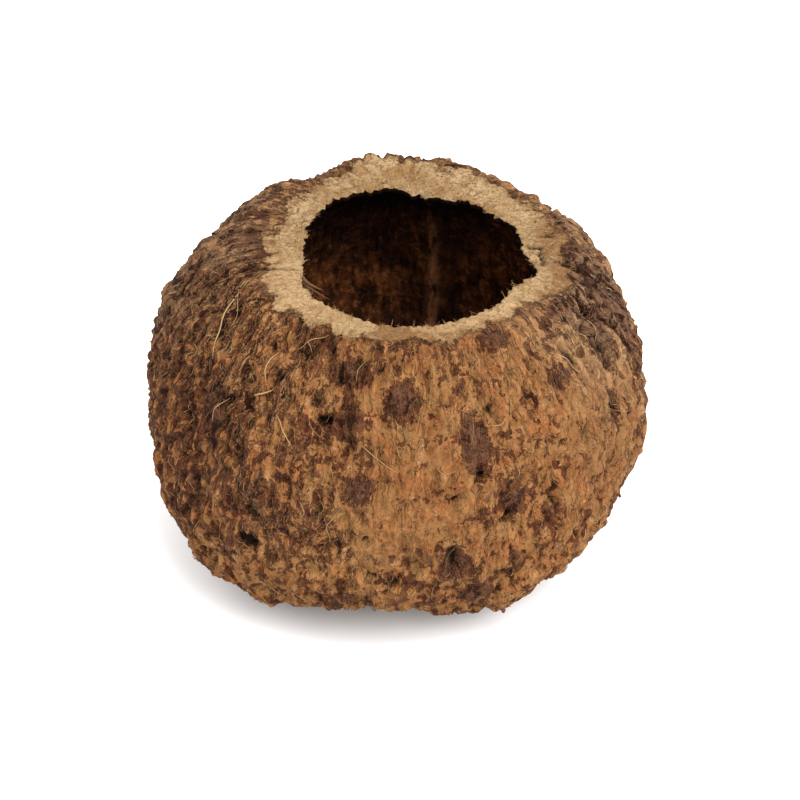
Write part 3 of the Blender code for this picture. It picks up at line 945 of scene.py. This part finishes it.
def shell_marks(around, tilt, lip, sides, down):
    """Numbers at each point of the shell for its finish, and the grain.

    The outer points come first, then the lip's, the cavity wall's, and the two single points.
    sawn: by how many millimetres the cut lies deeper than the bark. inside: 1 on the lining.
    relief: how high the fine bark stands. The hollow mark: how deep a hole or a groove is, for the
    painted shade down in it.
    cover, grey, light, bare, streak, warm and stain: strengths from the listed places.
    rib: 1 along the painted highlight down the back rib.
    """
    outer_count, lip_count = tilt.size, lip[..., 0].size
    reach = coarse_reach(around, tilt)
    fine = fine_bark(around, tilt, reach)
    on_cut = ray(around, tilt) * cut_reach(around, tilt)[..., None]
    outer = {}

    depth = (reach + 0.25 * fine - cut_reach(around, tilt)) / MM
    bark_thickness = 0.3 + 0.62 * worn(around) / MM
    outer["sawn"] = np.clip(depth - bark_thickness + places(around, tilt, TONGUES), -4, 4)
    outer["relief"] = np.clip(0.5 + 0.45 * fine / MM, 0, 1)
    # Painted shade for the holes and crevices of the bark and the grooves of the sawn face, by their
    # depth
    on_rim = tilt <= tilt[OUTER_ROWS - 1]
    holes = ease_in((-fine / MM - 0.75) / 0.9)
    outer["hollow_shade"] = np.where(on_rim, ease_in(rim_hollows(on_cut) / 1.2), holes)

    outer["cover"] = np.clip(PLAIN_COVER + places(around, tilt, DARK_PLACES), 0, 1.35)
    outer["grey"] = np.clip(PLAIN_GREY + places(around, tilt, GREY_PLACES), 0, 1)
    outer["light"] = np.clip(places(around, tilt, LIGHT_PLACES), 0, 1)
    streak = PLAIN_STREAK + places(around, tilt, STREAK_PLACES)
    outer["streak"] = streak * (0.45 + 0.55 * ease_in((tilt / DEGREE - 38) / 26))
    at = ray(around, tilt) * reach[..., None] / BARE_WAVER_SIZE
    wavered_side = around + BARE_WAVER * noise(at, 71) / np.sin(tilt)
    outer["bare"] = places(wavered_side, tilt + BARE_WAVER * noise(at, 72), BARE_PLACES)
    outer["stain"] = np.zeros(tilt.shape)
    for x, y, radius, strength in RIM_STAINS:
        away = np.hypot(on_cut[..., 0] - x, on_cut[..., 1] - y) / radius
        outer["stain"] += strength * np.exp(-(away**2))

    # What a mark is on the lip and on the cavity's wall, where that isn't nought
    elsewhere = {"sawn": 4.0, "relief": 0.5, "cover": 0.5, "streak": 1.0}
    marks = {}
    for name, values in outer.items():
        rest = np.full(lip_count + down.size + 1, elsewhere.get(name, 0.0))
        marks[name] = np.concatenate((values.ravel(), rest, values[:1, 0]))

    side, half_width, foot, fade = RIB_HIGHLIGHT_LINE
    line = np.exp(-((angle_from(sides, side) / half_width) ** 2)) * ease_in((foot - down) / fade)
    warm = np.clip(places(sides, down, WARM_PLACES), 0, 1)
    for name, values in (("rib", line), ("warm", warm)):
        marks[name] = np.concatenate((np.zeros(outer_count + lip_count), values.ravel(), (0, 0)))
    lip_shares = np.repeat((0.85, 1.0, 1.0), lip.shape[1])
    marks["inside"] = np.concatenate((np.zeros(outer_count), lip_shares, np.ones(down.size + 1), (0,)))

    run = (around.ravel(), np.tile(around[0], len(lip)), sides.ravel(), (0, 0))
    fall = (tilt.ravel(), np.tile(tilt[-1], len(lip)), down.ravel(), (np.pi, np.pi))
    marks["grain"] = grain(np.concatenate(run), np.concatenate(fall), 1.0, GRAIN_STRETCH)
    marks["grain"][-2:, :2] = 0
    return marks


def tubes(paths, radii, sides=3):
    """Points and faces of closed tubes along paths.

    Paths hold points by strand and step, radii the half-width at each. A ring of a few points stands
    round each step, square to the path, and one flat face closes each end.
    """
    strands, steps = paths.shape[:2]
    along = np.gradient(paths, axis=1)
    along /= np.linalg.norm(along, axis=-1, keepdims=True) + 1e-12
    outward = paths - (0, 0, MIDDLE_HEIGHT)
    across = np.cross(along, outward)
    across /= np.linalg.norm(across, axis=-1, keepdims=True) + 1e-12
    upward = np.cross(across, along)
    turn = np.arange(sides) / sides * 2 * np.pi
    ring = np.cos(turn)[:, None] * upward[:, :, None] + np.sin(turn)[:, None] * across[:, :, None]
    points = paths[:, :, None] + radii[:, :, None, None] * ring
    first = (np.arange(strands) * steps * sides)[:, None, None]
    low = first + (np.arange(steps - 1) * sides)[:, None] + np.arange(sides)
    turned = first + (np.arange(steps - 1) * sides)[:, None] + (np.arange(sides) + 1) % sides
    walls = np.stack((low, low + sides, turned + sides, turned), axis=-1).reshape(-1, 4)
    ends = np.arange(sides)
    start_caps = (np.arange(strands) * steps * sides)[:, None] + ends
    end_caps = start_caps[:, ::-1] + (steps - 1) * sides
    return points.reshape(-1, 3), [walls, start_caps, end_caps]


def tapered(share, amount):
    """A strand's thickness along it: 1 in its middle, and less by an amount at its ends."""
    return 1 - amount * np.abs(2 * share - 1) ** 3


def on_bark(azimuth, tilt, lift):
    """Points over the pod's outer face or its sawn face, by a height above it."""
    reach = outer_faces(azimuth, tilt) + lift
    return ray(azimuth, tilt) * reach[..., None] + (0, 0, MIDDLE_HEIGHT)


def loose_fibres(finish):
    """Dry strands on the bark, most of them 2 to 6 mm long.

    Each starts somewhere on the bark and runs down it, with a heading that leans and then turns
    evenly along its length. It arches a little off the bark, and its lower end may lift.
    """
    draw = np.random.RandomState(61)
    count, steps = LOOSE_FIBRE_COUNT, LOOSE_FIBRE_STEPS
    share = np.linspace(0, 1, steps)
    azimuth = draw.uniform(0, 2 * np.pi, count)[:, None]
    tilt = np.arccos(draw.uniform(-0.62, 0.80, count))[:, None]
    length = (draw.gamma(2.0, 1.3, count) + 1.2)[:, None] * MM
    lean = draw.normal(0, 0.42, count)[:, None]
    curl = draw.normal(0, 1.3, count)[:, None]
    heading = lean + curl * (share - 0.5)
    down = length / BODY_RADIUS * np.cumsum(np.cos(heading), axis=1) / steps
    aside = length / BODY_RADIUS * np.cumsum(np.sin(heading), axis=1) / steps
    tilt = tilt + down
    azimuth = azimuth + aside / np.maximum(np.sin(tilt), 0.3)
    arch = draw.gamma(1.2, 0.10, count)[:, None] * MM * np.sin(np.pi * share)
    ends = draw.gamma(0.5, 0.30, count)[:, None] * MM * share**3
    keep = on_skin(azimuth, tilt, 0.5 * MM).all(axis=1)
    paths = on_bark(azimuth, tilt, arch + ends + 0.02 * MM)[keep]
    radii = draw.uniform(0.05, 0.11, count)[:, None] * MM * tapered(share, 0.55)
    points, faces = tubes(paths, radii[keep])
    tone = np.repeat(draw.beta(1.6, 1.7, count)[keep], steps * 3)
    return new_piece("loose_fibres", points, faces, finish, {"tone": tone})


def long_fibres(finish):
    """The few long light strands, each a smooth curve through three or four places on the bark."""
    share = np.linspace(0, 1, LONG_FIBRE_STEPS)
    paths, radii, tones = [], [], []
    for stops, width, lift, tone in LONG_FIBRES:
        at = np.linspace(0, 1, len(stops))
        azimuth = np.interp(share, at, [stop[0] for stop in stops]) * DEGREE
        tilt = np.interp(share, at, [stop[1] for stop in stops]) * DEGREE
        along = np.stack((share * 5, np.full_like(share, width), np.zeros_like(share)), axis=-1)
        azimuth = azimuth + 0.004 * noise(along, 62)
        path = on_bark(azimuth, tilt, lift * MM * (0.35 + 0.65 * np.sin(np.pi * share)))
        for _ in range(3):
            path[1:-1] = (path[:-2] + 2 * path[1:-1] + path[2:]) / 4
        paths.append(path)
        radii.append(0.36 * width * MM * tapered(share, 0.6))
        tones.append(np.full(len(share) * 4, tone))
    points, faces = tubes(np.array(paths), np.array(radii), 4)
    return new_piece("long_fibres", points, faces, finish, {"tone": np.concatenate(tones)})


def torn_strips(finish):
    """Strips of torn lining that hang from the mouth's left edge and curve down into the cavity."""
    draw = np.random.RandomState(64)
    count, steps = STRIP_COUNT, STRIP_STEPS
    share = np.linspace(0, 1, steps)
    azimuth = np.sort(draw.uniform(188, 222, count)) * DEGREE
    fall = tilt_on_cut(azimuth, mouth_radius(azimuth) + 1.6 * MM)
    root = ray(azimuth, fall) * cut_reach(azimuth, fall)[:, None] + (0, 0, MIDDLE_HEIGHT - 4.0 * MM)
    reach = draw.uniform(2, 10, count)[:, None] * MM
    drop = draw.uniform(4, 14, count)[:, None] * MM
    sway = draw.normal(0, 2.0, (count, 1)) * MM
    turn = np.broadcast_to(azimuth[:, None], (count, steps))
    wave = 0.5 * MM * noise(np.stack((share * 4 + turn * 9, turn, turn), axis=-1), 65)
    swing = sway * np.sin(np.pi * share) - 0.3 * reach * share
    paths = root[:, None] + np.stack((reach * share**1.4 + wave, swing, -drop * share), axis=-1)
    radii = draw.uniform(0.30, 0.80, count)[:, None] * MM * (1 - 0.8 * share**2)
    points, faces = tubes(paths, radii, 4)
    tone = np.repeat(draw.uniform(0.0, 0.2, count), steps * 4)
    return new_piece("torn_strips", points, faces, finish, {"tone": tone})


def plates(top, low):
    """Points and faces of closed thin plates: an upper and a lower grid, joined at the edge."""
    count, steps, wide = top.shape[:3]
    here = np.arange(steps * wide).reshape(steps, wide)
    sheet = np.stack((here[:-1, :-1], here[1:, :-1], here[1:, 1:], here[:-1, 1:]), axis=-1)
    sheet = sheet.reshape(-1, 4)
    edge = np.concatenate((here[0, :-1], here[:-1, -1], here[-1, :0:-1], here[:0:-1, 0]))
    after = np.roll(edge, -1)
    wall = np.stack((edge, after, after + here.size, edge + here.size), axis=1)
    one = np.concatenate((sheet, sheet[:, ::-1] + here.size, wall))
    faces = (one[None] + (np.arange(count) * 2 * here.size)[:, None, None]).reshape(-1, 4)
    return np.stack((top, low), axis=1).reshape(-1, 3), [faces]


def bark_flakes(finish):
    """Small plates of lifted bark, and one that stands at the back of the rim.

    A plate runs down the bark by v and across it by u. It is crowned across, narrows to a ragged
    foot, and lifts off the bark towards the foot.
    """
    draw = np.random.RandomState(66)
    count, steps, wide = FLAKE_COUNT, FLAKE_STEPS, FLAKE_WIDE
    v, u = np.meshgrid(np.linspace(0, 1, steps), np.linspace(-1, 1, wide), indexing="ij")
    side = draw.uniform(0, 2 * np.pi, (count, 1, 1))
    lean = np.arccos(draw.uniform(-0.55, 0.75, (count, 1, 1)))
    length = draw.uniform(1.4, 3.0, (count, 1, 1)) * MM
    width = draw.uniform(0.3, 0.8, (count, 1, 1)) * MM
    rise = draw.gamma(1.5, 0.3, (count, 1, 1)) * MM
    ragged = 1 - 0.35 * draw.uniform(0, 1, (count, steps, wide)) - 0.35 * v**2
    tilt = lean + length / BODY_RADIUS * (v + 0.12 * draw.normal(0, 1, (count, steps, wide)) * v)
    azimuth = side + width / BODY_RADIUS * u * ragged / np.maximum(np.sin(lean), 0.3)
    keep = on_skin(azimuth, tilt, 0.2 * MM).all(axis=(1, 2))
    lift = rise * v**1.5 - 0.15 * MM + 0.25 * MM * (1 - u**2) * v
    top = on_bark(azimuth, tilt, lift + 0.12 * MM)[keep]
    low = on_bark(azimuth, tilt, lift - 0.10 * MM)[keep]

    # The standing flake, which leans out a little over the rim's back edge
    azimuth = (65 + 4.2 * u + 1.6 * v) * DEGREE
    edge = shoulder_tilt(azimuth)
    stand = (2.0 - 1.1 * u**2 - 0.6 * u) * v - 1.1
    foot = ray(azimuth, edge) * (coarse_reach(azimuth, edge) - 0.4 * MM)[..., None]
    tall = foot + (0, 0, MIDDLE_HEIGHT) + stand[..., None] * MM * np.array((0.10, 0.18, 1.0))
    outward = ray(azimuth, np.full_like(azimuth, np.pi / 2))
    top = np.concatenate((top, (tall + 0.3 * MM * outward)[None]))
    low = np.concatenate((low, (tall - 0.3 * MM * outward)[None]))
    points, faces = plates(top, low)
    tone = np.repeat(np.append(draw.beta(1.0, 3.0, len(top) - 1) * 0.35, 0.0), 2 * steps * wide)
    return new_piece("bark_flakes", points, faces, finish, {"tone": tone})


def rim_fuzz(finish):
    """Short torn hairs on the sawn face, more of them near the mouth, where they lean inwards."""
    draw = np.random.RandomState(63)
    count, steps = RIM_HAIR_COUNT, RIM_HAIR_STEPS
    share = np.linspace(0, 1, steps)
    azimuth = draw.uniform(0, 2 * np.pi, count)
    out = draw.uniform(0, 1, count) ** 1.6
    fall = tilt_on_cut(azimuth, mouth_radius(azimuth) + 0.2 * MM + out * 9 * MM)
    root = on_bark(azimuth, fall, 0)
    inwards = np.where(out[:, None] < 0.06, -ray(azimuth, fall) * 1.5, 0)
    lean = draw.normal(0, 1, (count, 3)) * (1, 1, 0.25) + inwards
    lean[:, 2] = np.abs(lean[:, 2]) * 0.5 + 0.1
    lean /= np.linalg.norm(lean, axis=1, keepdims=True)
    length = draw.uniform(0.5, 1.9, count)[:, None, None] * MM
    bend = draw.normal(0, 0.25, (count, 1, 3)) * (1, 1, 0.4)
    paths = root[:, None] + length * (lean[:, None] * share[:, None] + bend * share[:, None] ** 2)
    radii = draw.uniform(0.04, 0.09, count)[:, None] * MM * (1 - 0.6 * share)
    points, faces = tubes(paths, radii)
    tone = np.repeat(draw.beta(2.0, 1.2, count), steps * 3)
    return new_piece("rim_fuzz", points, faces, finish, {"tone": tone})


def aim_camera():
    """Looks at the middle of the body along +Y and down, a little aside as the photograph is framed."""
    data = bpy.data.cameras.new("camera")
    data.lens = LENS_MM
    camera = bpy.data.objects.new("camera", data)
    up = Vector((0, np.sin(VIEW_RISE), np.cos(VIEW_RISE)))
    back = Vector((0, -np.cos(VIEW_RISE), np.sin(VIEW_RISE)))
    target = Vector((FRAME_SHIFT_RIGHT, 0, MIDDLE_HEIGHT)) + up * FRAME_SHIFT_UP
    camera.location = target + back * VIEW_DISTANCE
    camera.rotation_euler = (-back).to_track_quat("-Z", "Y").to_euler()
    bpy.context.scene.collection.objects.link(camera)
    bpy.context.scene.camera = camera


def soft_light(name, place, size, watts):
    """A square light that faces the pod."""
    data = bpy.data.lights.new(name, "AREA")
    data.energy = watts
    data.size = size
    lamp = bpy.data.objects.new(name, data)
    lamp.location = place
    towards = Vector((0, 0, MIDDLE_HEIGHT)) - Vector(place)
    lamp.rotation_euler = towards.to_track_quat("-Z", "Y").to_euler()
    bpy.context.scene.collection.objects.link(lamp)


def set_studio():
    """A white floor, a white surround, and soft lights over the front and the right."""
    mesh = bpy.data.meshes.new("floor")
    corners = [(x * HALF_FLOOR, y * HALF_FLOOR, 0) for x, y in ((-1, -1), (1, -1), (1, 1), (-1, 1))]
    mesh.from_pydata(corners, [], [(0, 1, 2, 3)])
    finish = Finish("floor")
    finish.shader.inputs["Base Color"].default_value = FLOOR_COLOUR
    finish.shader.inputs["Roughness"].default_value = 1.0
    finish.shader.inputs["Specular IOR Level"].default_value = 0.0
    mesh.materials.append(finish.material)
    floor = bpy.data.objects.new("floor", mesh)
    bpy.context.scene.collection.objects.link(floor)

    world = bpy.data.worlds.new("surround")
    world.use_nodes = True
    background = world.node_tree.nodes["Background"]
    background.inputs["Color"].default_value = (1, 1, 1, 1)
    background.inputs["Strength"].default_value = SURROUND_STRENGTH
    bpy.context.scene.world = world
    for name, light in LIGHTS.items():
        soft_light(name, *light)
    bpy.context.scene.view_settings.view_transform = "Standard"


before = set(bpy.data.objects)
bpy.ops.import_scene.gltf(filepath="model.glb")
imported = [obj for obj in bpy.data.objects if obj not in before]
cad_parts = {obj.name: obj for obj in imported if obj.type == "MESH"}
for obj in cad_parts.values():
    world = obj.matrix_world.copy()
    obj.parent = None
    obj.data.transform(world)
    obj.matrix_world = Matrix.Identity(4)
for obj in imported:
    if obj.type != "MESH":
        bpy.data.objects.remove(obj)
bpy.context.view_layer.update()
aim_camera()
set_studio()
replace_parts(pod_shell(pod_finish()), "pod")
fibre = fibre_finish()
loose_fibres(fibre)
long_fibres(fibre)
torn_strips(fibre)
bark_flakes(fibre)
rim_fuzz(fibre)
